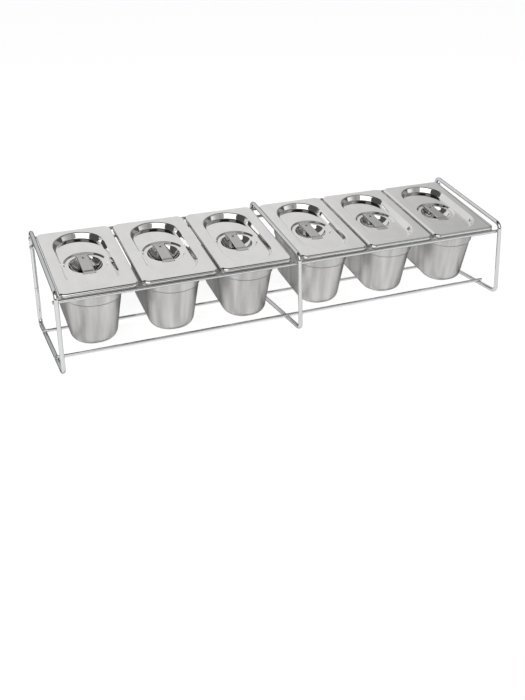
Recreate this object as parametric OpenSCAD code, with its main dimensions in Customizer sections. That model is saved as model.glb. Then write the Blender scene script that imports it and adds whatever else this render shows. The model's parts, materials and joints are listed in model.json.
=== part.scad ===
// Countertop rack of chromed wire that holds six one-ninth food pans in a
// sloping row. Each pan hangs by its flange on two rails, and has its own
// lift-off lid with a strap handle across a pressed bowl.
// X runs along the row, Y from the front to the rear, Z up. The origin lies
// on the table under the middle of the rack.

/* [Seat of the pans] */
// Slope of the pans and lids, rising to the rear, in degrees
tilt = 11.3; // [6:0.1:16]
// Height of the front rail's centreline above the table
front_rail_h = 103.4; // [100:0.1:125]
// How far each rail's centreline lies outside the flange's edge, along the slope
rail_outset = 1.4; // [1:0.1:1.7]
// Running gap between a seated pan and its rails
seat_gap = 0.3; // [0.2:0.05:0.5]
// Gap between one pan and the next
pan_gap = 4.5; // [3:0.1:8]
// Gap between the middle loop's wire and the pans beside it
middle_gap = 3.75; // [1.5:0.05:8]
// Gap between an end loop's wire and the pan beside it
end_gap = 1.5; // [1:0.05:8]

/* [Wire rack] */
// Diameter of the wire that the three loops are bent from
loop_wire_d = 6; // [5:0.1:8]
// Centreline radius of the loops' bends
loop_bend_r = 10; // [8:0.5:12]
// Height of a loop's front top corner above the front rail
front_rise = 12.3; // [12:0.1:16]
// Height of a loop's rear top corner above the rear rail
rear_rise = 11.8; // [11.5:0.1:16]
// Diameter of the two rails that carry the pans
rail_d = 5; // [4.5:0.1:6]
// Diameter of the lower long wires and of the rear brace
long_wire_d = 4.5; // [3.5:0.1:6]
// Distance of the lower front wire from the middle of the rack
lower_front_y = 48; // [35:0.5:65]
// Distance of the lower rear wire from the middle of the rack
lower_rear_y = 50; // [35:0.5:65]
// Drop from the rear rail's centreline to the brace below it
brace_drop = 13.3; // [10:0.1:30]
// How far the long wires run on past the end loops' centrelines
wire_overhang = 4.5; // [3:0.1:8]
// Depth that crossing wires melt into each other at a weld
weld_set = 0.3; // [0.1:0.05:0.5]
// How far the bends stand proud of the straight wire, where bending upsets it
bend_proud = 0.01; // [0.01:0.01:0.1]
// Height of the butt weld that closes each loop, on its rear upright
butt_h = 60; // [40:1:80]
// Length of the butt weld
butt_l = 2; // [1.2:0.1:3]
// How far the butt weld stands proud of the wire
butt_proud = 0.2; // [0.1:0.05:0.4]

/* [Pan] */
// Length of the pan over its flange
flange_l = 176; // [160:1:200]
// Width of the pan over its flange
flange_w = 108; // [100:1:130]
// Radius of the flange's corners in plan
flange_corner_r = 10; // [8:0.5:14]
// Width of the flange, from its edge to the straight wall
flange_rim = 12.3; // [11.5:0.1:14]
// Height of the flange's turned-down edge
flange_drop = 1.4; // [1:0.1:2.2]
// Thickness of the pan's sheet
pan_sheet = 0.8; // [0.6:0.05:1]
// Overall depth of the pan
pan_depth = 100; // [60:1:105]
// Straight stretch of the mouth at each end, between its wide round corners
mouth_end_l = 5; // [2:0.5:20]
// Inside radius of the bend between the wall and the flange
rim_bend_r = 4; // [2.5:0.1:5]
// Height of the upper band, from the flange down to the stacking shoulder
band_h = 28; // [20:0.5:34]
// Draft of the upper band in degrees
band_draft = 2.5; // [0.5:0.1:4]
// Width of the stacking shoulder
shoulder_w = 1.6; // [1:0.1:2.5]
// Height of the stacking shoulder's slope
shoulder_h = 2.2; // [1.5:0.1:4]
// Draft of the wall below the shoulder in degrees
wall_draft = 6.2; // [3:0.1:8]
// Inside radius between the wall and the bottom
bottom_r = 10; // [6:0.5:14]

/* [Lid] */
// Height of the lid's rim above the pan's flange
lid_h = 3.5; // [3:0.1:5]
// Thickness of the lid's sheet
lid_sheet = 0.7; // [0.5:0.05:0.9]
// Outside radius of the lid's top edge
lid_edge_r = 1.9; // [1.2:0.1:2.4]
// Width of the flat border beside the recess
side_border = 15.5; // [15.5:0.1:18]
// Clearance between the recess's wall and the pan's mouth at both ends
lid_play = 0.5; // [0.4:0.05:1.5]
// Depth of the recess below the rim
recess_depth = 8.3; // [7.5:0.1:10]
// Outside radius of the recess's upper edge
recess_edge_r = 2.5; // [1.5:0.1:3]
// Inside radius between the recess's wall and its floor
recess_floor_r = 3.5; // [2:0.1:4]
// Draft of the recess's wall in degrees
recess_draft = 12; // [5:1:16]
// Width of floor left between the recess's wall and the round step
ring_margin = 0.9; // [0.7:0.1:3]
// Depth of the round step in the recess's floor
ring_step = 2.2; // [1.5:0.1:3]
// Width of the ledge between the round step and the bowl
ledge_w = 6.5; // [5.5:0.1:8]
// Depth of the bowl below the ledge
bowl_depth = 14; // [10:0.5:18]

/* [Lid handle] */
// Thickness of the handle's strap
strap_sheet = 1; // [0.8:0.1:1.5]
// Width of the strap over the bowl
strap_w = 16; // [12:0.5:20]
// Width of the strap's ends on the ledge
tab_w = 19; // [16:0.5:24]
// Length of each end that lies on the ledge and is spot-welded there
tab_l = 4.6; // [3.5:0.1:5]
// Rise of the strap from its ends to its middle
strap_rise = 1.2; // [0.6:0.1:2]
// Height of the strap's turned-down sides
hem_h = 2.4; // [1.8:0.1:4]
// Diameter of the small hole in the strap
strap_hole_d = 3; // [2:0.1:4]
// Distance of that hole behind the middle of the strap
strap_hole_y = 16; // [10:0.5:17]

/* [Hidden] */
$fn = 64;

steel = [0.78, 0.78, 0.77];
lid_steel = [0.83, 0.83, 0.81];
chrome = [0.70, 0.71, 0.73];
arc_steps = 6;
bowl_steps = 8;
lap = 0.4;

// Places along the row
pans_per_bay = 3;
first_x = loop_wire_d / 2 + middle_gap + flange_w / 2;
pan_pitch = flange_w + pan_gap;
end_loop_x = first_x + (pans_per_bay - 1) * pan_pitch + flange_w / 2 + end_gap + loop_wire_d / 2;
function pan_x(i) = i <= pans_per_bay
    ? -first_x - (pans_per_bay - i) * pan_pitch
    : first_x + (i - pans_per_bay - 1) * pan_pitch;

// Rails, and the plane of the flanges above them
rail_y = (flange_l / 2 + rail_outset) * cos(tilt);
rear_rail_h = front_rail_h + 2 * rail_y * tan(tilt);
rail_mid_h = (front_rail_h + rear_rail_h) / 2;
edge_on_rail = sqrt(pow(rail_d / 2 + seat_gap, 2) - pow(rail_outset, 2));
seat_rise = edge_on_rail + flange_drop;
seat_y = -seat_rise * sin(tilt);
seat_h = rail_mid_h + seat_rise * cos(tilt);

// Corners of a loop's centreline
upright_y = rail_y + rail_d / 2 + loop_wire_d / 2 - weld_set;
base_h = loop_wire_d / 2 + bend_proud;
loop_corners = [
    [upright_y, rear_rail_h + rear_rise],
    [-upright_y, front_rail_h + front_rise],
    [-upright_y, base_h],
    [upright_y, base_h],
];
lower_wire_h = base_h + loop_wire_d / 2 + long_wire_d / 2 - weld_set;
brace_y = upright_y - loop_wire_d / 2 - long_wire_d / 2 + weld_set;

// Pan, measured from the vertical axis of a corner of its mouth
mouth_r = flange_w / 2 - flange_rim - mouth_end_l / 2;
axis_x = mouth_end_l / 2;
axis_y = flange_l / 2 - flange_rim - mouth_r;
band_end_r = mouth_r - (band_h - rim_bend_r) * tan(band_draft);
wall_top_r = band_end_r - shoulder_w;
wall_top_z = -band_h - shoulder_h;
inner_depth = pan_depth - pan_sheet;
bottom_arc_z = bottom_r - inner_depth;
bottom_arc_x = wall_top_r - (wall_top_z - bottom_arc_z) * tan(wall_draft) - bottom_r / cos(wall_draft);

// Lid, measured from the line between the two round ends of its recess. At both ends the
// underside of the recess's wall passes the bend round the pan's mouth with the lid's play,
// and the recess is made up to a tenth of a millimetre shorter to come to a round size.
recess_r = flange_w / 2 - side_border;
wall_top_under_r = recess_edge_r - lid_sheet;
wall_top_above_bend = rim_bend_r + lid_h - recess_edge_r + wall_top_under_r * sin(recess_draft);
wall_top_to_bend = (rim_bend_r + lid_play - wall_top_above_bend * sin(recess_draft)) / cos(recess_draft);
wall_top_under_y = axis_y + mouth_r + rim_bend_r - wall_top_to_bend;
recess_end_y = wall_top_under_y + wall_top_under_r * cos(recess_draft);
recess_axis_y = floor(10 * (recess_end_y - recess_r)) / 10;
recess_wall_drop = recess_depth - (recess_edge_r + recess_floor_r) * (1 - sin(recess_draft));
floor_arc_x = recess_r - (recess_edge_r + recess_floor_r) * cos(recess_draft)
    - recess_wall_drop * tan(recess_draft);
floor_z = lid_h - recess_depth;
ring_r = floor_arc_x - ring_margin;
ring_slope = ring_step * 0.35;
ledge_z = floor_z - ring_step;
ledge_r = ring_r - ring_slope;
bowl_r = ledge_r - ledge_w;
bowl_sphere_r = (pow(bowl_r, 2) + pow(bowl_depth, 2)) / (2 * bowl_depth);
bowl_edge_angle = asin(bowl_r / bowl_sphere_r);
strap_half = bowl_r + tab_l;

// Points of an arc about (x, y), from angle a to angle b
function arc(x, y, r, a, b, steps) = [
    for (i = [0 : steps])
        let (t = a + (b - a) * i / steps)
        [x + r * cos(t), y + r * sin(t)]
];
function reversed(list) = [for (i = [len(list) - 1 : -1 : 0]) list[i]];
function unit(v) = v / norm(v);

// Plate with rounded corners, or with two half-round ends where w is 2 * r
module rounded_plate(l, w, r) {
    if (w > 2 * r)
        square([w - 2 * r, l], center = true);
    square([w, l - 2 * r], center = true);
    for (sx = [-1, 1], sy = [-1, 1])
        translate([sx * (w / 2 - r), sy * (l / 2 - r)])
            circle(r = r);
}

// Carries a profile round a rectangle of half sides ax and ay with quarter-turn
// corners. The profile's x is the distance out from the rectangle, its y is height.
module sweep_round(ax, ay) {
    for (k = [0 : 3]) {
        sx = (k == 0 || k == 3) ? 1 : -1;
        sy = k < 2 ? 1 : -1;
        side = k % 2 == 0 ? ay : ax;
        translate([sx * ax, sy * ay, 0])
            rotate([0, 0, 90 * k])
                rotate_extrude(angle = 90)
                    children();
        if (side > 0)
            rotate([0, 0, 90 * k])
                translate([k % 2 == 0 ? ax : ay, side, 0])
                    rotate([90, 0, 0])
                        linear_extrude(2 * side)
                            children();
    }
}

// Lays a pan or lid on its seat, with the top of the flange at its own z = 0
module on_seat(i) {
    translate([pan_x(i), seat_y, seat_h])
        rotate([tilt, 0, 0])
            children();
}

// Straight wire along y, at the bends' radius from the y axis
module straight(run, bend_r, d) {
    translate([bend_r, run, 0])
        rotate([90, 0, 0])
            cylinder(h = run, d = d);
}

// Wire bent through an angle about the z axis, from the x axis on
module bend(turn, bend_r, d) {
    reach = bend_r + d;
    intersection() {
        rotate([0, 0, -90])
            rotate_extrude()
                translate([bend_r, 0])
                    circle(d = d);
        translate([-reach, 0, -d])
            cube([2 * reach, reach, 2 * d]);
        rotate([0, 0, turn])
            translate([-reach, -reach, -d])
                cube([2 * reach, reach, 2 * d]);
    }
}

// Bend i and all that follows it, each stretch set on the end of the last one
module bent_on(i, turns, runs, bend_r, d) {
    bend(turns[i], bend_r, d + 2 * bend_proud);
    rotate([0, 0, turns[i]]) {
        straight(runs[i], bend_r, d);
        if (i < len(turns) - 1)
            translate([0, runs[i], 0])
                bent_on(i + 1, turns, runs, bend_r, d);
    }
}

// Closed wire round corners in a plane, anticlockwise from the upper end of an upright.
// Its ends meet in a butt weld on that upright, at height weld_at.
module bent_ring(corners, weld_at, bend_r, d) {
    n = len(corners);
    sides = [for (i = [0 : n - 1]) corners[(i + 1) % n] - corners[i]];
    turns = [for (i = [0 : n - 1]) acos(unit(sides[(i + n - 1) % n]) * unit(sides[i]))];
    trims = [for (t = turns) bend_r * tan(t / 2)];
    first_run = corners[0][1] - trims[0] - weld_at;
    last_run = weld_at - corners[n - 1][1] - trims[n - 1];
    runs = [for (i = [0 : n - 1]) i < n - 1 ? norm(sides[i]) - trims[i] - trims[i + 1] : last_run - butt_l / 4];
    translate([corners[0][0] - bend_r, weld_at, 0]) {
        translate([0, butt_l / 4, 0])
            straight(first_run - butt_l / 4, bend_r, d);
        translate([0, first_run, 0])
            bent_on(0, turns, runs, bend_r, d);
        translate([0, -butt_l / 2, 0])
            straight(butt_l, bend_r, d + 2 * butt_proud);
    }
}

module loop_at(x) {
    color(chrome)
        translate([x, 0, 0])
            rotate([90, 0, 90])
                bent_ring(loop_corners, butt_h, loop_bend_r, loop_wire_d);
}

module long_wire(y, z, d) {
    color(chrome)
        translate([-end_loop_x - wire_overhang, y, z])
            rotate([0, 90, 0])
                cylinder(h = 2 * (end_loop_x + wire_overhang), d = d);
}

module left_loop() {
    loop_at(-end_loop_x);
}

module middle_loop() {
    loop_at(0);
}

module right_loop() {
    loop_at(end_loop_x);
}

module front_rail() {
    long_wire(-rail_y, front_rail_h, rail_d);
}

module rear_rail() {
    long_wire(rail_y, rear_rail_h, rail_d);
}

module rear_brace() {
    long_wire(brace_y, rear_rail_h - brace_drop, long_wire_d);
}

module lower_front_wire() {
    long_wire(-lower_front_y, lower_wire_h, long_wire_d);
}

module lower_rear_wire() {
    long_wire(lower_rear_y, lower_wire_h, long_wire_d);
}

// One face of the pan's sheet from the flange down to the bottom: grow is 0 on
// the inside and the sheet's thickness on the outside
function pan_face(grow) = concat(
    [[mouth_r + rim_bend_r + lap, -grow]],
    arc(mouth_r + rim_bend_r, -rim_bend_r, rim_bend_r - grow, 90, 180, arc_steps),
    [[band_end_r + grow, -band_h]],
    [[wall_top_r + grow, wall_top_z]],
    arc(bottom_arc_x, bottom_arc_z, bottom_r + grow, -wall_draft, -90, arc_steps),
    [[0, -inner_depth - grow]]
);

module pan_wall_profile() {
    polygon(concat(pan_face(0), reversed(pan_face(pan_sheet))));
}

module pan(i) {
    color(steel)
        on_seat(i) {
            sweep_round(axis_x, axis_y)
                pan_wall_profile();
            translate([-axis_x, -axis_y, -pan_depth])
                cube([2 * axis_x, 2 * axis_y, pan_sheet]);
            translate([0, 0, -pan_sheet])
                linear_extrude(pan_sheet)
                    difference() {
                        rounded_plate(flange_l, flange_w, flange_corner_r);
                        rounded_plate(
                            2 * (axis_y + mouth_r + rim_bend_r),
                            2 * (axis_x + mouth_r + rim_bend_r),
                            mouth_r + rim_bend_r
                        );
                    }
            translate([0, 0, -flange_drop])
                linear_extrude(flange_drop)
                    difference() {
                        rounded_plate(flange_l, flange_w, flange_corner_r);
                        rounded_plate(
                            flange_l - 2 * pan_sheet,
                            flange_w - 2 * pan_sheet,
                            flange_corner_r - pan_sheet
                        );
                    }
        }
}

// Rim of the lid: the flat top rolls over into a lip that rests on the flange
module lid_rim_profile() {
    r = flange_corner_r;
    e = lid_edge_r;
    polygon(concat(
        [[r - e - lap, lid_h]],
        arc(r - e, lid_h - e, e, 90, 0, arc_steps),
        [[r, 0], [r - lid_sheet, 0]],
        arc(r - e, lid_h - e, e - lid_sheet, 0, 90, arc_steps),
        [[r - e - lap, lid_h - lid_sheet]]
    ));
}

// Wall of the lid's recess, from the flat top down to the recess's floor
function recess_face(grow) = concat(
    [[recess_r + lap, lid_h - grow]],
    arc(recess_r, lid_h - recess_edge_r, recess_edge_r - grow, 90, 180 - recess_draft, arc_steps),
    arc(floor_arc_x, floor_z + recess_floor_r, recess_floor_r + grow, -recess_draft, -90, arc_steps),
    [[floor_arc_x - lap, floor_z - grow]]
);

module recess_wall_profile() {
    polygon(concat(recess_face(0), reversed(recess_face(lid_sheet))));
}

// Round step, ledge and bowl in the middle of the recess
module bowl_profile() {
    s = lid_sheet;
    outer_r = bowl_sphere_r + s;
    outer_edge_angle = acos((bowl_sphere_r - bowl_depth + s) / outer_r);
    centre_z = ledge_z - bowl_depth + bowl_sphere_r;
    polygon(concat(
        [[ring_r + lap, floor_z], [ring_r, floor_z], [ledge_r, ledge_z]],
        arc(0, centre_z, bowl_sphere_r, bowl_edge_angle - 90, -90, bowl_steps),
        reversed(arc(0, centre_z, outer_r, outer_edge_angle - 90, -90, bowl_steps)),
        [[ledge_r + s, ledge_z - s], [ring_r + s, floor_z - s], [ring_r + s + lap, floor_z - s]]
    ));
}

module lid(i) {
    color(lid_steel)
        on_seat(i) {
            sweep_round(flange_w / 2 - flange_corner_r, flange_l / 2 - flange_corner_r)
                lid_rim_profile();
            translate([0, 0, lid_h - lid_sheet])
                linear_extrude(lid_sheet)
                    difference() {
                        rounded_plate(
                            flange_l - 2 * lid_edge_r,
                            flange_w - 2 * lid_edge_r,
                            flange_corner_r - lid_edge_r
                        );
                        rounded_plate(2 * (recess_axis_y + recess_r), 2 * recess_r, recess_r);
                    }
            sweep_round(0, recess_axis_y)
                recess_wall_profile();
            translate([0, 0, floor_z - lid_sheet])
                linear_extrude(lid_sheet)
                    difference() {
                        rounded_plate(2 * (recess_axis_y + floor_arc_x), 2 * floor_arc_x, floor_arc_x);
                        circle(r = ring_r + lap / 2);
                    }
            rotate_extrude()
                bowl_profile();
        }
}

// Side view of the strap: flat ends on the ledge, and a raised middle
module strap_side_profile() {
    ramp = strap_half - tab_l - 1;
    flat = ramp - 5;
    polygon([
        [-strap_half, 0], [-ramp, 0], [-flat, strap_rise], [flat, strap_rise], [ramp, 0], [strap_half, 0],
        [strap_half, strap_sheet], [ramp, strap_sheet], [flat, strap_rise + strap_sheet],
        [-flat, strap_rise + strap_sheet], [-ramp, strap_sheet], [-strap_half, strap_sheet]
    ]);
}

// Plan of the strap: parallel sides that flare to the wider ends
module strap_plan() {
    h = strap_w / 2;
    e = tab_w / 2;
    neck = strap_half - tab_l;
    ends = strap_half - 1.5;
    polygon([
        [-h, -neck], [-e, -ends], [-e + 1.5, -strap_half], [e - 1.5, -strap_half], [e, -ends], [h, -neck],
        [h, neck], [e, ends], [e - 1.5, strap_half], [-e + 1.5, strap_half], [-e, ends], [-h, neck]
    ]);
}

module lid_handle(i) {
    hem_half = strap_half - tab_l - 6;
    color(steel)
        on_seat(i)
            translate([0, 0, ledge_z])
                difference() {
                    union() {
                        intersection() {
                            linear_extrude(strap_rise + strap_sheet + 1)
                                strap_plan();
                            translate([-tab_w / 2, 0, 0])
                                rotate([90, 0, 90])
                                    linear_extrude(tab_w)
                                        strap_side_profile();
                        }
                        for (sx = [-1, 1])
                            translate([sx * (strap_w - strap_sheet) / 2, 0, strap_rise + strap_sheet - hem_h / 2])
                                cube([strap_sheet, 2 * hem_half, hem_h], center = true);
                    }
                    translate([0, strap_hole_y, -1])
                        cylinder(h = strap_rise + strap_sheet + 2, d = strap_hole_d);
                }
}

left_loop();
middle_loop();
right_loop();
front_rail();
rear_rail();
rear_brace();
lower_front_wire();
lower_rear_wire();
pan(1);  // pan_1
pan(2);  // pan_2
pan(3);  // pan_3
pan(4);  // pan_4
pan(5);  // pan_5
pan(6);  // pan_6
lid(1);  // lid_1
lid(2);  // lid_2
lid(3);  // lid_3
lid(4);  // lid_4
lid(5);  // lid_5
lid(6);  // lid_6
lid_handle(1);  // lid_handle_1
lid_handle(2);  // lid_handle_2
lid_handle(3);  // lid_handle_3
lid_handle(4);  // lid_handle_4
lid_handle(5);  // lid_handle_5
lid_handle(6);  // lid_handle_6
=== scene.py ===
import json
import math

import bmesh
import bpy
import numpy as np
from mathutils import Matrix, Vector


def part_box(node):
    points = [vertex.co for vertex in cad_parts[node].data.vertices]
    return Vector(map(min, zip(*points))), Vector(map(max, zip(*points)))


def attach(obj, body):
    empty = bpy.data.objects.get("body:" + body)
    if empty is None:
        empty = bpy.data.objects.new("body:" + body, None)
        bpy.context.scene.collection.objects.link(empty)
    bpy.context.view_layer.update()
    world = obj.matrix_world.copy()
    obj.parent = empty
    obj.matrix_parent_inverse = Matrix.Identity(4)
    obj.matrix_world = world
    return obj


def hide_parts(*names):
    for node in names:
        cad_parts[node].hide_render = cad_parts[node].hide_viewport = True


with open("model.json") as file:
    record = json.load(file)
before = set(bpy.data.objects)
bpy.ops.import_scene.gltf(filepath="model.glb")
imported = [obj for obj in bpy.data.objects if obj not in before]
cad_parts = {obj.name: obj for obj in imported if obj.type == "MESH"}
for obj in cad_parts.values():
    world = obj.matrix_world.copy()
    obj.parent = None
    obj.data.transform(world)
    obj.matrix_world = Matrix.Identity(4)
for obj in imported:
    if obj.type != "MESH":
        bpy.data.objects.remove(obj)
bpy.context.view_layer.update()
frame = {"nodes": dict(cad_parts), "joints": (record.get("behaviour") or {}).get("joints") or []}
print("frame loaded")

mm = 0.001  # sizes of the pieces below are in millimetres and degrees

# Slope of the row of pans, from the axis along which a pan lifts
liftAxis = next(j["axis"] for j in frame["joints"] if j["name"] == "pan_1_lift")
tilt = math.atan2(-liftAxis[1], liftAxis[2])
panCount = sum(1 for name in frame["nodes"] if name.startswith("pan_"))

# Camera, at the place and angles that the photograph was taken from: place, near and far in
# metres, angles in degrees, sensor in millimetres, and the rest in pixels
cameraSetup = {
    "place": (-0.4987, -1.2052, 0.5398),
    "yaw": 23.385,
    "pitch": 19.274,
    "roll": 0.872,
    "focal": 905.21,
    "centre": (288.37, 257.60),
    "image": (525, 700),
    "sensor": 36.0,
    "near": 0.05,
    "far": 100.0,
}


def makeCamera(setup):
    # Right, down and forward unit vectors from yaw, pitch and roll. Focal length and
    # picture centre are in pixels, so the lens is focal * sensor / longest side.
    yaw, pitch, roll = (math.radians(setup[key]) for key in ("yaw", "pitch", "roll"))
    ahead = math.cos(pitch)
    forward = np.array([math.sin(yaw) * ahead, math.cos(yaw) * ahead, -math.sin(pitch)])
    level = np.array([math.cos(yaw), -math.sin(yaw), 0.0])
    plumb = np.cross(forward, level)
    right = math.cos(roll) * level + math.sin(roll) * plumb
    down = math.cos(roll) * plumb - math.sin(roll) * level
    data = bpy.data.cameras.new("camera")
    width, height = setup["image"]
    longest = max(width, height)
    data.sensor_fit = "AUTO"
    data.sensor_width = setup["sensor"]
    data.lens = setup["focal"] * setup["sensor"] / longest
    data.shift_x = (width / 2 - setup["centre"][0]) / longest
    data.shift_y = (setup["centre"][1] - height / 2) / longest
    data.clip_start = setup["near"]
    data.clip_end = setup["far"]
    camera = bpy.data.objects.new("camera", data)
    bpy.context.scene.collection.objects.link(camera)
    turn = np.stack([right, -down, -forward], axis=1)
    camera.matrix_world = Matrix.Translation(setup["place"]) @ Matrix(turn.tolist()).to_4x4()
    bpy.context.scene.camera = camera


makeCamera(cameraSetup)
print("camera set")


# Surfaces: a part is an array of points and a list of face arrays. The points lie on a grid,
# rows along a profile and columns round it.


def arc(x, y, radius, start, stop, steps):
    # Points (x + radius cos a, y + radius sin a) for a from start to stop degrees
    a = np.radians(np.linspace(start, stop, steps + 1))
    return np.stack([x + radius * np.cos(a), y + radius * np.sin(a)], axis=1)


def gridFaces(rows, cols):
    # Quads between neighbouring rows and columns, with the last column joined to the first
    i = np.arange(rows - 1)[:, None] * cols
    k = np.arange(cols)[None, :]
    near, far = i + k, i + (k + 1) % cols
    return np.stack([near, near + cols, far + cols, far], axis=-1).reshape(-1, 4)


def shellPart(grid):
    # A closed surface: the grid's rows, with the centre of the first row and of the last as poles
    rows, cols = grid.shape[:2]
    points = np.vstack([grid.reshape(-1, 3), grid[0].mean(axis=0), grid[-1].mean(axis=0)])
    k = np.arange(cols)
    after = (k + 1) % cols
    base = (rows - 1) * cols
    first = np.stack([np.full(cols, rows * cols), k, after], axis=1)
    last = np.stack([base + k, np.full(cols, rows * cols + 1), base + after], axis=1)
    return points, [gridFaces(rows, cols), first, last]


def ringPart(grid):
    # A closed surface with no poles: the last row joins the first one
    rows, cols = grid.shape[:2]
    return grid.reshape(-1, 3), [gridFaces(rows + 1, cols) % (rows * cols)]


def joinParts(parts):
    # One part from several: each part's face numbers go up by the count of points before it
    starts = np.cumsum([0] + [len(points) for points, faces in parts])
    faces = [block + start for part, start in zip(parts, starts) for block in part[1]]
    return np.vstack([points for points, faces in parts]), faces


def makePiece(name, part, material, body, node):
    # A smooth-shaded mesh of the part, in metres, on its body and in place of its CAD node
    points, blocks = part
    faces = [face for block in blocks for face in block.tolist()]
    mesh = bpy.data.meshes.new(name)
    mesh.from_pydata((points * mm).tolist(), [], faces)
    mesh.materials.append(material)
    mesh.shade_smooth()
    piece = bpy.data.objects.new(name, mesh)
    bpy.context.scene.collection.objects.link(piece)
    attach(piece, body)
    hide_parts(node)
    return piece


def mergeDoubles(piece, distance=0.01):
    # Joins points of one piece that lie on each other
    mesh = bmesh.new()
    mesh.from_mesh(piece.data)
    bmesh.ops.remove_doubles(mesh, verts=mesh.verts, dist=distance * mm)
    mesh.to_mesh(piece.data)
    mesh.free()


# Pans

panSizes = {
    "flangeLength": 176, "flangeWidth": 108, "flangeCorner": 10, "flangeRim": 12.3,
    "flangeDrop": 1.4, "flangeEdge": 1.2, "lipTip": 0.3, "sideDrop": 3.2,
    "sheet": 0.8, "depth": 100, "mouthCorner": 39.2, "rimBend": 4,
    "bandHeight": 28, "bandDraft": 2.5, "shoulderWidth": 1.6, "shoulderHeight": 2.2,
    "shoulderRound": 1.2, "wallDraft": 6.2, "bottomRadius": 10,
    "bendFlat": 1, "edgeFlat": 3,  # flat of the flange kept beside the rim bend and the edge
    "floorShares": [0.04, 0.3, 0.6, 0.85],  # rows of points within the flat bottom
}
# Columns of points along a side of a plan curve, round a corner and along an end
roundSteps = {"side": 40, "corner": 24, "end": 16}
# Arcs of a profile: degrees a step, fewest steps, millimetres to the point that keeps the flat
# beside them flat, least turn in radians that gets an arc, and tightest bend under a sheet
profileSteps = {"degrees": 9, "fewest": 3, "margin": 0.25, "leastTurn": 1e-4, "leastBend": 0.15}


def seatOf(i):
    # Where the top of pan i's flange has its middle, from the node's box
    low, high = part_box("pan_%d" % i)
    half = panSizes["flangeLength"] / 2
    x = (low.x + high.x) / 2 / mm
    y = high.y / mm - half * math.cos(tilt) - panSizes["flangeDrop"] * math.sin(tilt)
    z = high.z / mm - half * math.sin(tilt)
    return np.array([x, y, z])


def onSeat(part, i):
    # Turns a part's points by the slope about the x axis, then moves them to the seat of pan i
    points, faces = part
    x, y, z = points[:, 0], points[:, 1], points[:, 2]
    turned = [x, y * math.cos(tilt) - z * math.sin(tilt), y * math.sin(tilt) + z * math.cos(tilt)]
    return np.stack(turned, axis=1) + seatOf(i), faces


def planFamily(kind, turn=0.0):
    # Directions and axis weights round a plan curve, anticlockwise from the right side:
    # point = (weightX * axisX, weightY * axisY) + radius * (cos a, sin a).
    # A plate has four quarter corners, a stadium two half-round ends, and a circle one centre.
    # The side columns of a circle span turn degrees on both sides of the x axis.
    side, corner, end = roundSteps["side"], roundSteps["corner"], roundSteps["end"]

    def along(start, stop, count):
        return start + (stop - start) * np.arange(count) / count

    if kind == "plate":
        a = [along(0, 0, side), along(0, 90, corner), along(90, 90, end), along(90, 180, corner)]
        wx = [along(1, 1, side), along(1, 1, corner), along(1, -1, end), along(-1, -1, corner)]
        wy = [along(-1, 1, side), along(1, 1, corner), along(1, 1, end), along(1, 1, corner)]
    else:
        endCount = 2 * corner + end
        a = [along(-turn, turn, side), along(turn, 180 - turn, endCount)]
        wx = [along(0, 0, side), along(0, 0, endCount)]
        wy = [along(-1, 1, side), along(1, 1, endCount)]
        if kind == "circle":
            wy = [along(0, 0, side), along(0, 0, endCount)]
    a, wx, wy = np.concatenate(a), np.concatenate(wx), np.concatenate(wy)
    a = np.radians(np.concatenate([a, a + 180]))
    return a, np.concatenate([wx, -wx]), np.concatenate([wy, -wy])


def planRows(family, axes, profile):
    # One row of points for each (radius, z) of the profile, round the family's plan curve
    a, wx, wy = family
    radius, z = profile[:, :1], profile[:, 1:]
    x = wx * axes[0] + radius * np.cos(a)
    y = wy * axes[1] + radius * np.sin(a)
    return np.stack([x, y, np.broadcast_to(z, x.shape)], axis=-1)


def roundedProfile(corners):
    # A polyline through (x, y, round) corners, each replaced by an arc of its radius,
    # with a point a little before and after each arc so that flats shade flat
    margin = profileSteps["margin"]
    out = [np.array(corners[0][:2], float)]
    for before, here, after in zip(corners, corners[1:], corners[2:]):
        p0, p1, p2 = (np.array(c[:2], float) for c in (before, here, after))
        radius = here[2]
        u, v = p0 - p1, p2 - p1
        lengthU, lengthV = np.linalg.norm(u), np.linalg.norm(v)
        u, v = u / lengthU, v / lengthV
        half = math.acos(np.clip(-(u @ v), -1, 1)) / 2
        if radius <= 0 or half < profileSteps["leastTurn"]:
            out.append(p1)
            continue
        reach = radius * math.tan(half)
        steps = int(math.degrees(2 * half) / profileSteps["degrees"]) + 1
        steps = max(profileSteps["fewest"], steps)
        bisector = (u + v) / np.linalg.norm(u + v)
        centre = p1 + bisector * radius / math.cos(half)
        t0, t1 = p1 + u * reach, p1 + v * reach
        a0 = math.atan2(*(t0 - centre)[::-1])
        a1 = math.atan2(*(t1 - centre)[::-1])
        sweep = (a1 - a0 + math.pi) % (2 * math.pi) - math.pi
        a = a0 + sweep * np.arange(steps + 1) / steps
        if lengthU > reach + 2 * margin:
            out.append(t0 + u * margin)
        out += list(centre + radius * np.stack([np.cos(a), np.sin(a)], axis=1))
        if lengthV > reach + 2 * margin:
            out.append(t1 + v * margin)
    out.append(np.array(corners[-1][:2], float))
    return np.array(out)


def offsetProfile(profile, distance):
    # The profile moved sideways to its right by distance, along its own normals
    d = np.diff(profile, axis=0)
    d /= np.linalg.norm(d, axis=1, keepdims=True)
    tangent = np.vstack([d[:1], d[:-1] + d[1:], d[-1:]])
    length = np.linalg.norm(tangent, axis=1, keepdims=True)
    tangent = tangent / length
    scale = np.vstack([[[1.0]], 2 / length[1:-1], [[1.0]]])
    normal = np.stack([tangent[:, 1], -tangent[:, 0]], axis=1)
    return profile + distance * scale * normal


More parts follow.
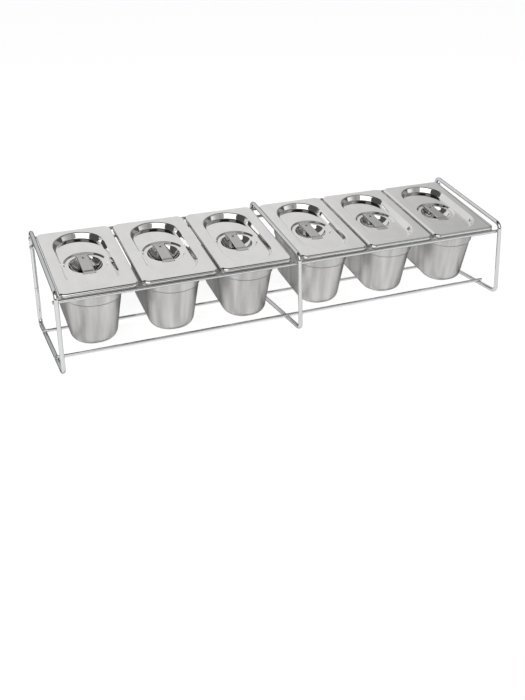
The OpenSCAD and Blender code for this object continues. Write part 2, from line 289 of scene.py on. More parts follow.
def sheetProfiles(corners, sheet):
    # Both faces of a sheet: the corners rounded as they are, and the same polyline moved to
    # its right by the sheet, where a left turn's radius grows by the sheet and a right turn's
    # shrinks by it
    sharp = np.array([c[:2] for c in corners], float)
    moved = offsetProfile(sharp, sheet)
    d = np.diff(sharp, axis=0)
    left = d[:-1, 0] * d[1:, 1] - d[:-1, 1] * d[1:, 0] > 0
    under = [tuple(moved[0])]
    for corner, place, turnsLeft in zip(corners[1:-1], moved[1:-1], left):
        radius = corner[2]
        if radius > 0:
            inside = max(radius - sheet, profileSteps["leastBend"])
            radius = radius + sheet if turnsLeft else inside
        under.append((place[0], place[1], radius))
    under.append(tuple(moved[-1]))
    return roundedProfile(corners), roundedProfile(under)


def discRows(family, axes, radius, z, shares):
    # Rows inside a flat disc: the plan curve drawn in to each share of its size
    a, wx, wy = family
    x = wx * axes[0] + radius * np.cos(a)
    y = wy * axes[1] + radius * np.sin(a)
    s = np.array(shares)[:, None]
    return np.stack([x * s, y * s, np.full((len(shares), len(a)), float(z))], axis=-1)


def panShell(s):
    # Inner face from the middle of the bottom up the wall and out over the flange, then
    # the same profile a sheet's thickness away, back to the middle of the underside
    plate = planFamily("plate")
    halfWidth, halfLength = s["flangeWidth"] / 2, s["flangeLength"] / 2
    wall = (halfWidth - s["flangeRim"] - s["mouthCorner"],
            halfLength - s["flangeRim"] - s["mouthCorner"])
    rim = (halfWidth - s["flangeCorner"], halfLength - s["flangeCorner"])
    bandSlope = math.tan(math.radians(s["bandDraft"]))
    bandEnd = s["mouthCorner"] - (s["bandHeight"] - s["rimBend"]) * bandSlope
    mouthTop = bandEnd + s["bandHeight"] * bandSlope
    wallTop = bandEnd - s["shoulderWidth"]
    wallTopZ = -s["bandHeight"] - s["shoulderHeight"]
    floorZ = s["sheet"] - s["depth"]
    wallFoot = wallTop - (wallTopZ - floorZ) * math.tan(math.radians(s["wallDraft"]))
    flat = wallFoot - s["bottomRadius"]
    inner, outer = sheetProfiles([
        (flat, floorZ),
        (wallFoot, floorZ, s["bottomRadius"]),
        (wallTop, wallTopZ, s["shoulderRound"]),
        (bandEnd, -s["bandHeight"], s["shoulderRound"]),
        (mouthTop, 0, s["rimBend"]),
        (mouthTop + s["rimBend"] + s["bendFlat"], 0),
    ], s["sheet"])
    rimProfile, rimUnder = sheetProfiles([
        (s["flangeCorner"] - s["edgeFlat"], 0),
        (s["flangeCorner"], 0, s["flangeEdge"]),
        (s["flangeCorner"], -s["flangeDrop"] - s["lipTip"]),
    ], s["sheet"])
    # The lip hangs lower at the sides, by sideDrop cos^2 a, than over the rails
    lip = planRows(plate, rim, np.vstack([rimProfile, rimUnder[::-1]]))
    deep = s["sideDrop"] * np.cos(plate[0]) ** 2
    tip = lip[..., 2] < -s["flangeDrop"]
    lip[..., 2] -= np.where(tip, deep, 0)
    return shellPart(np.vstack([
        discRows(plate, wall, flat, floorZ, s["floorShares"]),
        planRows(plate, wall, inner),
        lip,
        planRows(plate, wall, outer[::-1]),
        discRows(plate, wall, flat, floorZ - s["sheet"], s["floorShares"][::-1]),
    ]))


# Lids

lidSizes = {
    "height": 3.5, "sheet": 0.7, "edgeRound": 3.2, "sideBorder": 15.5, "endBorder": 10,
    "recessDepth": 8.3, "recessEdge": 2.5, "recessFoot": 2.0, "recessDraft": 25,
    "ringMargin": 0.9, "ringStep": 2.2, "ringSlope": 1.1, "ringRound": 0.5, "ledge": 4.9,
    "bowlDepth": 14, "bowlEdge": 1.2,
    "bowlStart": 2, "bowlStop": 6, "bowlSteps": 22,  # arc of the bowl, degrees off its ends
    "seamInside": 0.05, "seamOutside": 0.15,  # from the seam of round middle and long recess
    "borderFlat": 0.6, "edgeFlat": 0.8,  # flat of the border kept beside recess and edge
    "circleTurn": 52,  # degrees from the x axis that the side columns of the middle reach
}


def lidLevels(s, p):
    # The radii and heights that both the lid and its strap are worked out from
    recess = p["flangeWidth"] / 2 - s["sideBorder"]
    draft = math.radians(s["recessDraft"])
    rounds = s["recessEdge"] + s["recessFoot"]
    drop = s["recessDepth"] - rounds * (1 - math.sin(draft))
    foot = recess - rounds * math.cos(draft) - drop * math.tan(draft)
    ring = foot - s["ringMargin"]
    ledgeRadius = ring - s["ringStep"] * s["ringSlope"]
    floorZ = s["height"] - s["recessDepth"]
    ledgeZ = floorZ - s["ringStep"]
    bowl = ledgeRadius - s["ledge"]
    sphere = (bowl ** 2 + s["bowlDepth"] ** 2) / (2 * s["bowlDepth"])
    axisY = p["flangeLength"] / 2 - s["endBorder"] - recess
    return {"recess": recess, "axisY": axisY, "foot": foot, "ring": ring, "floorZ": floorZ,
            "ledgeRadius": ledgeRadius, "ledgeZ": ledgeZ, "bowl": bowl, "sphere": sphere}


def lidShell(s, p):
    # Top face from the bowl's bottom outwards: bowl, ledge, round step, recess floor,
    # recess wall, flat border and rolled edge; then the underside back to the bowl
    v = lidLevels(s, p)
    top, edge = s["height"], p["flangeCorner"]
    centreZ = v["ledgeZ"] - s["bowlDepth"] + v["sphere"]
    rimAngle = math.degrees(math.asin(v["bowl"] / v["sphere"]))
    bowl = arc(0, centreZ, v["sphere"], -90 + s["bowlStart"], -90 + rimAngle - s["bowlStop"],
               s["bowlSteps"])
    seam = v["foot"] - s["ringMargin"] / 2
    middle, middleUnder = sheetProfiles([(x, z, 0) for x, z in bowl] + [
        (v["bowl"], v["ledgeZ"], s["bowlEdge"]),
        (v["ledgeRadius"], v["ledgeZ"], s["ringRound"]),
        (v["ring"], v["floorZ"], s["ringRound"]),
        (seam - s["seamInside"], v["floorZ"]),
    ], s["sheet"])
    draft = math.radians(s["recessDraft"])
    wallFoot = v["foot"] + s["recessFoot"] * math.tan(math.pi / 4 - draft / 2)
    wallHead = wallFoot + s["recessDepth"] * math.tan(draft)
    recess, recessUnder = sheetProfiles([
        (seam + s["seamOutside"], v["floorZ"]),
        (wallFoot, v["floorZ"], s["recessFoot"]),
        (wallHead, top, s["recessEdge"]),
        (v["recess"] + s["borderFlat"], top),
    ], s["sheet"])
    rim, rimUnder = sheetProfiles([
        (edge - s["edgeRound"] - s["edgeFlat"], top),
        (edge, top, s["edgeRound"]),
        (edge, 0),
    ], s["sheet"])
    circle = planFamily("circle", s["circleTurn"])
    stadium = planFamily("stadium")
    plate = planFamily("plate")
    plateAxes = (p["flangeWidth"] / 2 - edge, p["flangeLength"] / 2 - edge)
    return shellPart(np.vstack([
        planRows(circle, (0, 0), middle),
        planRows(stadium, (0, v["axisY"]), recess),
        planRows(plate, plateAxes, rim),
        planRows(plate, plateAxes, rimUnder[::-1]),
        planRows(stadium, (0, v["axisY"]), recessUnder[::-1]),
        planRows(circle, (0, 0), middleUnder[::-1]),
    ]))


# Strap handles

strapSizes = {
    "sheet": 1.0, "width": 16, "tabWidth": 19, "tabLength": 3.9, "rise": 0.8, "hem": 2.4,
    "edgeRound": 1.4, "tipRound": 2.5,
    "holeDiameter": 3, "holePlace": 16, "holeDish": 0.4, "dishShare": 0.14,
    "spotDiameter": 3.0, "spotDepth": 0.25, "spotAside": 5, "spotInset": 2.4,
    # How far in from the tab the width, the turned-down sides and the rise start to change,
    # and over what length they do
    "flareStart": 3, "flareRun": 5, "hemStart": 8, "hemRun": 6, "riseStart": 6, "riseRun": 6,
    # Rounds at the end of a turned-down side and at its root. Where that side is shorter than
    # hemLeast the strip has a plain edge: distances in from the side and up from below
    "hemRound": 0.25, "rootRound": 0.3, "hemLeast": 0.6,
    "stripEdge": [(0, 0.3), (0.1, 0.08), (0.4, 0)], "stripRoot": 0.05,
    "turnSteps": 6,  # steps of the round between top and side
    # Half of the square patch round the hole, its columns, and the shares of a ray from hole
    # to square that get a point
    "patch": 6, "patchSteps": 8, "rayShares": [0, 0.04, 0.12, 0.3, 0.6, 1.0],
    "neck": 16,  # from the far end to where the rows of points get close
    "stationSteps": [8, 8, 8, 14, 8],  # rows of points from one end to the other
}


def smooth(t):
    # 0 below 0 and 1 above 1, with level ends between: t * t * (3 - 2 t)
    t = np.clip(t, 0, 1)
    return t * t * (3 - 2 * t)


def strapShell(s, levels):
    # A channel section carried along y. Its width, the depth of its turned-down sides and
    # its height are smooth functions of y, and a square patch round the hole is polar.
    half = levels["bowl"] + s["tabLength"]
    patch, columns, hole = s["patch"], s["patchSteps"], s["holePlace"]
    sheet, edge, tipRound, root = s["sheet"], s["edgeRound"], s["tipRound"], s["rootRound"]

    def nearTab(y, start, run):
        # 0 in the middle of the strap and 1 at its ends
        return smooth((np.abs(y) - (half - s["tabLength"] - start)) / run)

    def widthAt(y):
        flare = nearTab(y, s["flareStart"], s["flareRun"])
        tip = np.clip((np.abs(y) - (half - tipRound)) / tipRound, 0, 1)
        full = s["width"] + (s["tabWidth"] - s["width"]) * flare
        return full / 2 - tipRound * (1 - np.sqrt(np.clip(1 - tip ** 2, 0, 1)))

    def hemAt(y):
        return s["hem"] * (1 - nearTab(y, s["hemStart"], s["hemRun"]))

    def riseAt(y):
        return s["rise"] * (1 - nearTab(y, s["riseStart"], s["riseRun"]))

    def spotsAt(x, y):
        # Shallow round dents of the spot welds near both ends
        inset = np.abs(y) - (half - s["spotInset"])
        near = [np.hypot(x - side * s["spotAside"], inset) for side in (-1, 1)]
        return sum(-s["spotDepth"] * (1 - smooth(d / (s["spotDiameter"] / 2))) for d in near)

    flat = np.linspace(-patch, patch, columns + 1)
    quarter = np.radians(90 * np.linspace(0, 1, s["turnSteps"] + 1))

    def sectionRow(y):
        # The top from left to right, down the right side, the underside back, up the left side
        w, base = float(widthAt(y)), float(riseAt(y))
        topZ = base + sheet
        down = max(float(hemAt(y)) - sheet, 0.0)
        low = base - down
        turned = np.stack([w - edge + edge * np.sin(quarter), topZ - edge + edge * np.cos(quarter)],
                          axis=1)
        if down < s["hemLeast"]:  # no turned-down side here: the section is a plain rounded strip
            share = down / s["hemLeast"]
            end = [(w - aside, low + up) for aside, up in s["stripEdge"]]
            inner = [(w - sheet, low), (w - sheet - s["stripRoot"], base - down * share)]
        else:
            blunt = s["hemRound"]
            end = [(w, low + blunt), (w - blunt, low), (w - sheet + blunt, low)]
            inner = [(w - sheet, low + blunt), (w - sheet, base - root / 2)]
        right = np.vstack([turned, end, inner, (w - sheet - root, base)])
        top = np.stack([flat, np.full(columns + 1, topZ)], axis=1)
        bottom = np.stack([flat[::-1], np.full(columns + 1, base)], axis=1)
        return np.vstack([top, right, bottom, right[::-1] * [-1, 1]])

    knots = [half, hole + patch, hole - patch, s["neck"] - half, tipRound - half, -half]
    steps = s["stationSteps"]
    stations = [np.linspace(*ends, n + 1)[:-1] for *ends, n in zip(knots, knots[1:], steps)]
    stations = np.concatenate(stations + [[-half]])
    grid = np.array([np.insert(sectionRow(y), 1, y, axis=1) for y in stations])
    grid[..., 2] += spotsAt(grid[..., 0], grid[..., 1])
    rows, cols = grid.shape[:2]
    quads = gridFaces(rows, cols).reshape(rows - 1, cols, 4)
    keep = np.ones((rows - 1, cols), bool)
    for start in (0, cols // 2):
        keep[steps[0]:steps[0] + columns, start:start + columns] = False
    caps = np.array([np.arange(cols), np.arange((rows - 1) * cols, rows * cols)[::-1]])
    # Square patches with the hole: rays from the hole's edge to the square's edge
    side = np.full(columns, patch)
    square = np.concatenate([
        np.stack([flat[:-1], -side], axis=1),
        np.stack([side, flat[:-1]], axis=1),
        np.stack([flat[:0:-1], side], axis=1),
        np.stack([-side, flat[:0:-1]], axis=1),
    ])
    angle = np.arctan2(square[:, 1], square[:, 0])
    circle = s["holeDiameter"] / 2 * np.stack([np.cos(angle), np.sin(angle)], axis=1)
    shares = np.array(s["rayShares"])[:, None, None]
    rays = circle + (square - circle) * shares
    x, y = rays[..., 0], rays[..., 1] + hole
    rolled = s["holeDish"] * (1 - smooth(shares[..., 0] / s["dishShare"]))
    upper = np.stack([x, y, riseAt(y) + sheet - rolled], axis=-1)
    lower = np.stack([x, y, riseAt(y)], axis=-1)
    patchGrid = np.concatenate([lower[::-1], upper])
    patchPart = (patchGrid.reshape(-1, 3), [gridFaces(*patchGrid.shape[:2])])
    points, faces = joinParts([(grid.reshape(-1, 3), [quads[keep], caps]), patchPart])
    return points + [0, 0, levels["ledgeZ"]], faces


# Wires

wireSizes = {
    "loopDiameter": 6, "loopBend": 10, "railDiameter": 5, "frontRise": 12.3, "rearRise": 11.8,
    "buttHeight": 60, "buttProud": 0.22, "buttLength": 0.9, "weldRadius": 2.0, "weldDepth": 0.75,
    # Ends of the long wires: the chamfer's size, the share of it that is cut off halfway along,
    # what is cut off at its inner edge, and how far in, as a share of the radius, the flat end
    # has its ring of points
    "chamfer": 0.6, "chamferMiddle": 0.32, "chamferEdge": 0.05, "endFlat": 0.6,
    # Steps: degrees round a wire and along a bend, length along a straight, reach and count of
    # the points near the butt weld, degrees down and round a weld, and the rows of a long wire
    "roundStep": 15, "bendStep": 4, "pathStep": 8.0, "buttSpan": 3, "buttPoints": 17,
    "weldDown": 18, "weldRound": 20, "rodInset": 10, "rodRows": 9,
}
# The long wires: the part of a loop that each is welded to, and whether at its rear
longWires = [
    {"node": "front_rail", "on": "upright", "rear": False},
    {"node": "rear_rail", "on": "upright", "rear": True},
    {"node": "rear_brace", "on": "upright", "rear": True},
    {"node": "lower_front_wire", "on": "base", "rear": False},
    {"node": "lower_rear_wire", "on": "base", "rear": True},
]


def wirePath(corners, s):
    # A closed path through corners in a plane, each turned into an arc of the loop's bend, and
    # the straight runs into steps, with close ones near the butt weld on the first run.
    # Returns points and unit tangents.
    corners = np.array(corners, float)
    count, bend = len(corners), s["loopBend"]
    out = []
    for i in range(count):
        p0, p1, p2 = corners[i - 1], corners[i], corners[(i + 1) % count]
        u, v = (p1 - p0) / np.linalg.norm(p1 - p0), (p2 - p1) / np.linalg.norm(p2 - p1)
        turn = math.acos(np.clip(u @ v, -1, 1))
        trim = bend * math.tan(turn / 2)
        start = p1 - u * trim
        side = np.array([-u[1], u[0]])
        centre = start + side * bend
        a = np.linspace(0, turn, int(math.degrees(turn) / s["bendStep"]) + 1)[:, None]
        out.append(centre - side * bend * np.cos(a) + u * bend * np.sin(a))
        w = corners[(i + 2) % count] - p2
        nextTurn = math.acos(np.clip(v @ w / np.linalg.norm(w), -1, 1))
        begin, stop = p1 + v * trim, p2 - v * bend * math.tan(nextTurn / 2)
        length = np.linalg.norm(stop - begin)
        steps = int(length / s["pathStep"])
        share = np.arange(1, steps) / steps
        if i == 0:
            near = np.linspace(-s["buttSpan"], s["buttSpan"], s["buttPoints"])
            near = (s["buttHeight"] - begin[1] + near) / length
            share = np.concatenate([share[share < near[0]], near, share[share > near[-1]]])
        out.append(begin + (stop - begin) * share[:, None])
    points = np.vstack(out)
    ahead = np.roll(points, -1, axis=0) - np.roll(points, 1, axis=0)
    return points, ahead / np.linalg.norm(ahead, axis=1, keepdims=True)


def nodeBox(name):
    # Low and high corners of a CAD node's box, in millimetres
    low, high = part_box(name)
    return np.array(low) / mm, np.array(high) / mm


def loopShell(node, s):
    # A circle of the wire's radius carried round the path in the loop's plane; the radius
    # swells in a narrow bell, buttProud * exp(-(distance / buttLength)^2), at the butt weld
    # of the rear upright
    low, high = nodeBox(node)
    radius = s["loopDiameter"] / 2
    x = (low[0] + high[0]) / 2
    front, rear, base = low[1] + radius, high[1] - radius, low[2] + radius
    frontTop = nodeBox("front_rail")[0][2] + s["railDiameter"] / 2 + s["frontRise"]
    rearTop = nodeBox("rear_rail")[0][2] + s["railDiameter"] / 2 + s["rearRise"]
    points, tangent = wirePath([(rear, base), (rear, rearTop), (front, frontTop), (front, base)], s)
    away = (points[:, 1] - s["buttHeight"]) / s["buttLength"]
    atRear = points[:, 0] > (front + rear) / 2
    full = (radius + s["buttProud"] * np.exp(-away ** 2) * atRear)[:, None]
    a = np.radians(np.arange(0, 360, s["roundStep"]))
    normal = np.stack([tangent[:, 1], -tangent[:, 0]], axis=1)
    across = full * np.cos(a)
    gx = x + full * np.sin(a)
    gy = points[:, :1] + normal[:, :1] * across
    gz = points[:, 1:] + normal[:, 1:] * across
    parts = [ringPart(np.stack([gx, gy, gz], axis=-1))]
    for wire in longWires:
        parts.append(weldPart(x, wire, rear if wire["rear"] else front, base, s))
    return joinParts(parts)


def weldPart(x, wire, uprightY, baseZ, s):
    # The metal squeezed out where two wires are welded: a flat ellipsoid at their contact,
    # size * (sin a cos b, -sin a sin b, cos a)
    low, high = nodeBox(wire["node"])
    y, z = (low[1] + high[1]) / 2, (low[2] + high[2]) / 2
    radius = s["loopDiameter"] / 2
    flat, deep = s["weldRadius"], s["weldDepth"]
    if wire["on"] == "upright":
        y = uprightY + math.copysign(radius, y - uprightY)
        size = (flat, deep, flat)
    else:
        z = baseZ + radius
        size = (flat, flat, deep)
    a = np.radians(np.arange(s["weldDown"] / 2, 180, s["weldDown"]))[:, None]
    b = np.radians(np.arange(0, 360, s["weldRound"]))[None, :]
    ball = np.stack([np.sin(a) * np.cos(b), -np.sin(a) * np.sin(b), np.cos(a) + 0 * b], axis=-1)
    return shellPart(ball[::-1] * size + [x, y, z])


def rodShell(node, s):
    # A straight wire along x with chamfered ends: its radius is a function of x, and the
    # profile is turned about the wire's axis
    low, high = nodeBox(node)
    radius, c = (high[2] - low[2]) / 2, s["chamfer"]
    xs = np.array([low[0], low[0], low[0] + c / 2, low[0] + c, low[0] + 2 * c])
    rs = radius - np.array([radius * s["endFlat"], c, c * s["chamferMiddle"], s["chamferEdge"], 0])
    middle = np.linspace(low[0] + s["rodInset"], high[0] - s["rodInset"], s["rodRows"])
    xs = np.concatenate([xs, middle, low[0] + high[0] - xs[::-1]])
    rs = np.concatenate([rs, np.full(s["rodRows"], radius), rs[::-1]])
    a = np.radians(np.arange(0, 360, s["roundStep"]))
    y = (low[1] + high[1]) / 2 + rs[:, None] * np.cos(a)
    z = (low[2] + high[2]) / 2 - rs[:, None] * np.sin(a)
    return shellPart(np.stack([xs[:, None] + 0 * y, y, z], axis=-1))


# Finishes

# Colour and gloss of each steel; edge is its tint where it is seen at a low angle. Gloss varies
# by patchy and colour by uneven, in streaks. Grain and wave are heights of bumps in metres.
# Stretch, waveScale and streaks are noise scales, in turns of the noise to the metre.
steelFinishes = {
    "lid": {
        "colour": (0.78, 0.775, 0.765), "edge": 1.0, "roughness": 0.04, "patchy": 0.02,
        "uneven": 0.04, "streaks": (70, 30, 70), "grain": 0.000003, "stretch": (900, 40, 900),
        "wave": 0.0002, "waveScale": 22,
    },
    "pan": {
        "colour": (0.61, 0.605, 0.595), "edge": 0.2, "roughness": 0.33, "patchy": 0.08,
        "uneven": 0.22, "streaks": (85, 85, 5), "grain": 0.000010, "stretch": (700, 700, 22),
        "wave": 0.0005, "waveScale": 28,
    },
    "strap": {
        "colour": (0.57, 0.565, 0.555), "edge": 0.6, "roughness": 0.26, "patchy": 0.06,
        "uneven": 0.03, "streaks": (18, 18, 18), "grain": 0.000008, "stretch": (900, 50, 900),
        "wave": 0.0002, "waveScale": 40,
    },
    "wire": {
        "colour": (0.72, 0.725, 0.73), "edge": 0.0, "roughness": 0.05, "patchy": 0.05,
        "uneven": 0.03, "streaks": (18, 18, 18), "grain": 0.000003, "stretch": (300, 300, 300),
    },
}
# The same for every steel: noise detail, size of the patches, and the spans of noise over which
# gloss and colour vary
steelNoise = {
    "grainDetail": 3.0, "waveDetail": 1.0, "patchScale": 18.0, "patchDetail": 4.0,
    "streakDetail": 2.0, "glossSpan": (0.6, 1.4), "toneSpan": (0.3, 0.7),
}


def arithmetic(nodes, links, operation, *terms):
    # A sum, product or maximum of sockets and plain numbers
    node = nodes.new("ShaderNodeMath")
    node.operation = operation
    for socket, term in zip(node.inputs, terms):
        if isinstance(term, float):
            socket.default_value = term
        else:
            links.new(term, socket)
    return node.outputs[0]


def mapped(nodes, links, source, setting, value):
    # Coordinates turned by a rotation or multiplied by a scale
    node = nodes.new("ShaderNodeMapping")
    node.inputs[setting].default_value = value
    links.new(source, node.inputs["Vector"])
    return node.outputs["Vector"]


def noise(nodes, links, source, scale, detail):
    # Smooth noise about a half, finer for a larger scale
    node = nodes.new("ShaderNodeTexNoise")
    node.inputs["Scale"].default_value = scale
    node.inputs["Detail"].default_value = detail
    links.new(source, node.inputs["Vector"])
    return node.outputs["Fac"]


def bump(nodes, links, height, distance):
    # The surface's normal, tipped as if it rose by height times distance
    node = nodes.new("ShaderNodeBump")
    node.inputs["Strength"].default_value = 1.0
    node.inputs["Distance"].default_value = distance
    links.new(height, node.inputs["Height"])
    return node


def steelMaterial(name, f, n):
    # Polished metal: long fine grain along the drawing direction, a slow waviness of the
    # pressed sheet, colour in faint streaks, and roughness that varies a little in patches
    material = bpy.data.materials.new(name)
    material.use_nodes = True
    nodes, links = material.node_tree.nodes, material.node_tree.links
    shader = nodes["Principled BSDF"]
    shader.inputs["Metallic"].default_value = 1.0
    shader.inputs["Specular Tint"].default_value = (f["edge"], f["edge"], f["edge"], 1)
    place = nodes.new("ShaderNodeTexCoord")
    level = mapped(nodes, links, place.outputs["Object"], "Rotation", (-tilt, 0, 0))

    stretched = mapped(nodes, links, level, "Scale", f["stretch"])
    grain = noise(nodes, links, stretched, 1.0, n["grainDetail"])
    patches = noise(nodes, links, level, n["patchScale"], n["patchDetail"])
    rough = nodes.new("ShaderNodeMapRange")
    rough.inputs["From Min"].default_value, rough.inputs["From Max"].default_value = n["glossSpan"]
    rough.inputs["To Min"].default_value = f["roughness"] - f["patchy"]
    rough.inputs["To Max"].default_value = f["roughness"] + f["patchy"]
    links.new(arithmetic(nodes, links, "ADD", grain, patches), rough.inputs["Value"])
    links.new(rough.outputs["Result"], shader.inputs["Roughness"])

    drawn = mapped(nodes, links, level, "Scale", f["streaks"])
    streaks = noise(nodes, links, drawn, 1.0, n["streakDetail"])
    dark = [c * (1 - f["uneven"]) for c in f["colour"]]
    light = [c * (1 + f["uneven"] / 2) for c in f["colour"]]
    tone = nodes.new("ShaderNodeMapRange")
    tone.data_type = "FLOAT_VECTOR"
    # Sockets 6 to 10 are the vector, the span it is read over, and the two colours it gives
    low, high = n["toneSpan"]
    for number, value in ((7, (low,) * 3), (8, (high,) * 3), (9, dark), (10, light)):
        tone.inputs[number].default_value = value
    links.new(streaks, tone.inputs[6])
    links.new(tone.outputs[1], shader.inputs["Base Color"])

    fine = bump(nodes, links, grain, f["grain"])
    if "wave" in f:
        wave = noise(nodes, links, level, f["waveScale"], n["waveDetail"])
        slow = bump(nodes, links, wave, f["wave"])
        links.new(slow.outputs["Normal"], fine.inputs["Normal"])
    links.new(fine.outputs["Normal"], shader.inputs["Normal"])
    return material


finishes = {name: steelMaterial(name + "Steel", values, steelNoise)
            for name, values in steelFinishes.items()}
print("finishes made")


# The object's pieces

for node in ("left_loop", "middle_loop", "right_loop"):
    makePiece(node + "_wire", loopShell(node, wireSizes), finishes["wire"], "rack", node)
for wire in longWires:
    makePiece(wire["node"] + "_rod", rodShell(wire["node"], wireSizes), finishes["wire"], "rack",
              wire["node"])
print("rack made")

panPart = panShell(panSizes)
lidPart = lidShell(lidSizes, panSizes)
strapPart = strapShell(strapSizes, lidLevels(lidSizes, panSizes))
for i in range(1, panCount + 1):
    pan, lid, strap = "pan_%d" % i, "lid_%d" % i, "lid_handle_%d" % i
    makePiece(pan + "_pressing", onSeat(panPart, i), finishes["pan"], pan, pan)
    makePiece(lid + "_pressing", onSeat(lidPart, i), finishes["lid"], lid, lid)
    piece = makePiece(strap + "_strap", onSeat(strapPart, i), finishes["strap"], lid, strap)
    mergeDoubles(piece)
print("pans and lids made")


# Floor, world and soft box

studio = {
    # The floor ends close in front of the rack and to its left, as a table does, so that the
    # metal mirrors the dark beyond it. Lengths are in metres.
    "floorReach": 30.0, "floorFront": -0.75, "floorLeft": -1.1, "floorColour": 0.90,
    "glowSeen": 0.66, "glowMirrored": 0.54,  # added to the floor's own light, up to white
    # Levels of the dome and the spans of the ray's y and z over which they change
    "domeFront": 0.45, "domeBack": 0.85, "domeSpan": (-0.2, 0.25),
    "cap": 0.03, "capSpan": (0.82, 0.88),
    # One strip of light in the dark overhead, between two values of y
    "stripFront": -0.38, "stripBack": -0.09, "stripFade": 0.05,
    "stripLevel": 0.22, "stripSpan": (0.78, 0.86),
}
# A soft dark card on the right of the dome, in degrees: azimuth from the right, elevation, the
# angle up to which it is darkest and the angle where it ends, and its level
card = {"azimuth": 10, "elevation": 25, "inner": 16, "outer": 47, "level": 0.33}
# Upright screens round the studio, in degrees: azimuth of the middle, half width, the angle over
# which the sides fade, lowest and highest elevation, the angle over which those fade, and level
screens = [
    {"azimuth": 160, "half": 12, "fade": 5, "low": 12, "high": 60, "rise": 4, "level": 0.10},
    {"azimuth": 188, "half": 21, "fade": 6, "low": -90, "high": 60, "rise": 5, "level": 0.09},
    {"azimuth": 247, "half": 42, "fade": 6, "low": -90, "high": 11, "rise": 4, "level": 0.035},
    {"azimuth": 318, "half": 22, "fade": 5, "low": -4, "high": 9, "rise": 3, "level": 1.05},
    {"azimuth": 352, "half": 12, "fade": 6, "low": -6, "high": 22, "rise": 4, "level": 0.10},
]
# A soft box in front on the left: its place and size in metres, and its brightness as seen in
# the metal
softBox = {"place": (-1.17, -2.07, 1.48), "size": (3.0, 2.2), "brightness": 1.25}


def backgroundGlow(nodes, links, s):
    # One strength for camera rays, another for glossy and transmission rays, 0 for the rest:
    # the largest of the three kinds of ray, each 0 or 1, times their strengths
    path = nodes.new("ShaderNodeLightPath")
    glow = arithmetic(nodes, links, "MULTIPLY", path.outputs["Is Camera Ray"], s["glowSeen"])
    for kind in ("Is Glossy Ray", "Is Transmission Ray"):
        mirrored = arithmetic(nodes, links, "MULTIPLY", path.outputs[kind], s["glowMirrored"])
        glow = arithmetic(nodes, links, "MAXIMUM", glow, mirrored)
    return glow


def makeFloor(s):
    # A matt plane at z = 0 from (left, front) to the reach, plus the glow
    reach, front, left = s["floorReach"], s["floorFront"], s["floorLeft"]
    corners = [(left, front, 0), (reach, front, 0), (reach, reach, 0), (left, reach, 0)]
    mesh = bpy.data.meshes.new("floor")
    mesh.from_pydata(corners, [], [(0, 1, 2, 3)])
    floor = bpy.data.objects.new("floor", mesh)
    bpy.context.scene.collection.objects.link(floor)
    material = bpy.data.materials.new("paleFloor")
    material.use_nodes = True
    nodes, links = material.node_tree.nodes, material.node_tree.links
    nodes.clear()
    plain = nodes.new("ShaderNodeBsdfDiffuse")
    plain.inputs["Color"].default_value = (*[s["floorColour"]] * 3, 1)
    glow = nodes.new("ShaderNodeEmission")
    links.new(backgroundGlow(nodes, links, s), glow.inputs["Strength"])
    both = nodes.new("ShaderNodeAddShader")
    out = nodes.new("ShaderNodeOutputMaterial")
    links.new(plain.outputs[0], both.inputs[0])
    links.new(glow.outputs[0], both.inputs[1])
    links.new(both.outputs[0], out.inputs["Surface"])
    mesh.materials.append(material)


def cosine(degrees):
    # Cosine of an angle in degrees
    return math.cos(math.radians(degrees))


def sine(degrees):
    # Sine of an angle in degrees
    return math.sin(math.radians(degrees))


def smoothRange(nodes, links, source, span, levels):
    # One level below the span and the other above it, with a smooth step between
    node = nodes.new("ShaderNodeMapRange")
    node.interpolation_type = "SMOOTHSTEP"
    for socket, value in zip(("From Min", "From Max", "To Min", "To Max"), (*span, *levels)):
        node.inputs[socket].default_value = value
    links.new(source, node.inputs["Value"])
    return node.outputs["Result"]


def alongDirection(nodes, links, ray, azimuth, elevation):
    # The cosine of the angle between the ray and the direction
    # (cos azimuth cos elevation, sin azimuth cos elevation, sin elevation)
    level = cosine(elevation)
    direction = (cosine(azimuth) * level, sine(azimuth) * level, sine(elevation))
    toward = nodes.new("ShaderNodeVectorMath")
    toward.operation = "DOT_PRODUCT"
    toward.inputs[1].default_value = direction
    links.new(ray, toward.inputs[0])
    return toward.outputs["Value"]


def domeLevel(nodes, links, ray, y, z, s):
    # ((front + (back - front) * rise(y)) * fall(z) + strip(y) * high(z)) * card, where the
    # card's level runs smoothly with the cosine of the angle between its direction and the ray's
    across = smoothRange(nodes, links, y, s["domeSpan"], (s["domeFront"], s["domeBack"]))
    overhead = smoothRange(nodes, links, z, s["capSpan"], (1.0, s["cap"]))
    dome = arithmetic(nodes, links, "MULTIPLY", across, overhead)
    front, back, fade = s["stripFront"], s["stripBack"], s["stripFade"]
    begin = smoothRange(nodes, links, y, (front, front + fade), (0.0, 1.0))
    end = smoothRange(nodes, links, y, (back - fade, back), (1.0, 0.0))
    high = smoothRange(nodes, links, z, s["stripSpan"], (0.0, s["stripLevel"]))
    strip = arithmetic(nodes, links, "MULTIPLY", begin, end)
    strip = arithmetic(nodes, links, "MULTIPLY", strip, high)
    lit = arithmetic(nodes, links, "ADD", dome, strip)
    toward = alongDirection(nodes, links, ray, card["azimuth"], card["elevation"])
    span = (cosine(card["outer"]), cosine(card["inner"]))
    shade = smoothRange(nodes, links, toward, span, (1.0, card["level"]))
    return arithmetic(nodes, links, "MULTIPLY", lit, shade)


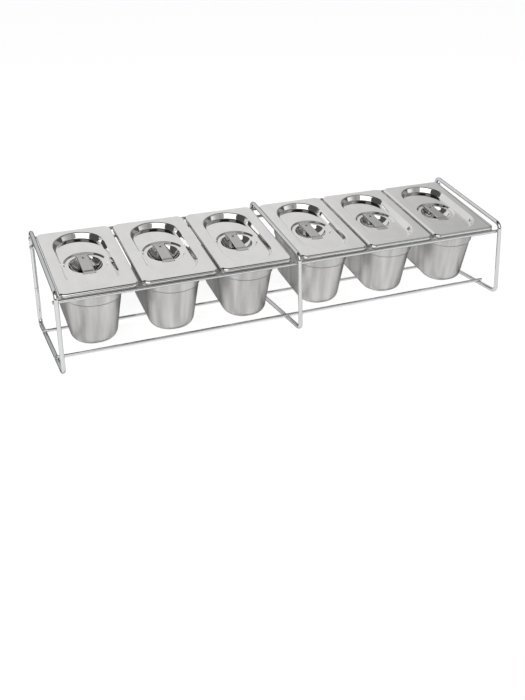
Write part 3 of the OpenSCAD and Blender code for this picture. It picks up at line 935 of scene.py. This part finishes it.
def screened(nodes, links, level, compass, z, screen):
    # The screen's own level mixed into the level behind it: within its half width by the
    # cosine of the azimuth between the two, and between its lowest and highest z
    half, fade, rise = screen["half"], screen["fade"], screen["rise"]
    toward = alongDirection(nodes, links, compass, screen["azimuth"], 0)
    within = smoothRange(nodes, links, toward, (cosine(half + fade), cosine(half)), (0.0, 1.0))
    foot = (sine(screen["low"]), sine(screen["low"] + rise))
    head = (sine(screen["high"] - rise), sine(screen["high"]))
    above = smoothRange(nodes, links, z, foot, (0.0, 1.0))
    below = smoothRange(nodes, links, z, head, (1.0, 0.0))
    cover = arithmetic(nodes, links, "MULTIPLY", within, above)
    cover = arithmetic(nodes, links, "MULTIPLY", cover, below)
    blend = nodes.new("ShaderNodeMix")
    blend.inputs["B"].default_value = screen["level"]
    links.new(cover, blend.inputs["Factor"])
    links.new(level, blend.inputs["A"])
    return blend.outputs["Result"]


def makeWorld(s):
    # White to the camera; to everything else a dome that is bright at the back, grey in
    # front and dark overhead, with a strip of light, the card and the screens
    world = bpy.data.worlds.new("studioDome")
    bpy.context.scene.world = world
    world.use_nodes = True
    nodes, links = world.node_tree.nodes, world.node_tree.links
    nodes.clear()
    ray = nodes.new("ShaderNodeTexCoord").outputs["Generated"]
    split = nodes.new("ShaderNodeSeparateXYZ")
    links.new(ray, split.inputs[0])
    y, z = split.outputs["Y"], split.outputs["Z"]
    level = domeLevel(nodes, links, ray, y, z, s)
    # The ray's direction on the compass: its z taken out, and brought back to length 1
    flattened = nodes.new("ShaderNodeVectorMath")
    flattened.operation = "MULTIPLY"
    flattened.inputs[1].default_value = (1, 1, 0)
    links.new(ray, flattened.inputs[0])
    compass = nodes.new("ShaderNodeVectorMath")
    compass.operation = "NORMALIZE"
    links.new(flattened.outputs[0], compass.inputs[0])
    for screen in screens:
        level = screened(nodes, links, level, compass.outputs[0], z, screen)
    dome = nodes.new("ShaderNodeBackground")
    links.new(level, dome.inputs["Strength"])
    white = nodes.new("ShaderNodeBackground")
    white.inputs["Strength"].default_value = 1.0
    for background in (dome, white):
        background.inputs["Color"].default_value = (1, 1, 1, 1)
    path = nodes.new("ShaderNodeLightPath")
    mix = nodes.new("ShaderNodeMixShader")
    out = nodes.new("ShaderNodeOutputWorld")
    links.new(path.outputs["Is Camera Ray"], mix.inputs["Fac"])
    links.new(dome.outputs[0], mix.inputs[1])
    links.new(white.outputs[0], mix.inputs[2])
    links.new(mix.outputs[0], out.inputs["Surface"])


def makeSoftBox(s):
    # A rectangle that faces the middle of the rack's foot; its power is its brightness times
    # pi times its area
    data = bpy.data.lights.new("frontBox", "AREA")
    data.shape = "RECTANGLE"
    data.size, data.size_y = s["size"]
    data.energy = s["brightness"] * math.pi * s["size"][0] * s["size"][1]
    lamp = bpy.data.objects.new("frontBox", data)
    bpy.context.scene.collection.objects.link(lamp)
    back = np.array(s["place"]) / np.linalg.norm(s["place"])
    right = np.cross((0, 0, 1), back)
    right /= np.linalg.norm(right)
    turn = np.stack([right, np.cross(back, right), back], axis=1)
    lamp.matrix_world = Matrix.Translation(s["place"]) @ Matrix(turn.tolist()).to_4x4()


makeFloor(studio)
makeWorld(studio)
makeSoftBox(softBox)
bpy.context.scene.view_settings.view_transform = "Standard"
print("studio set")
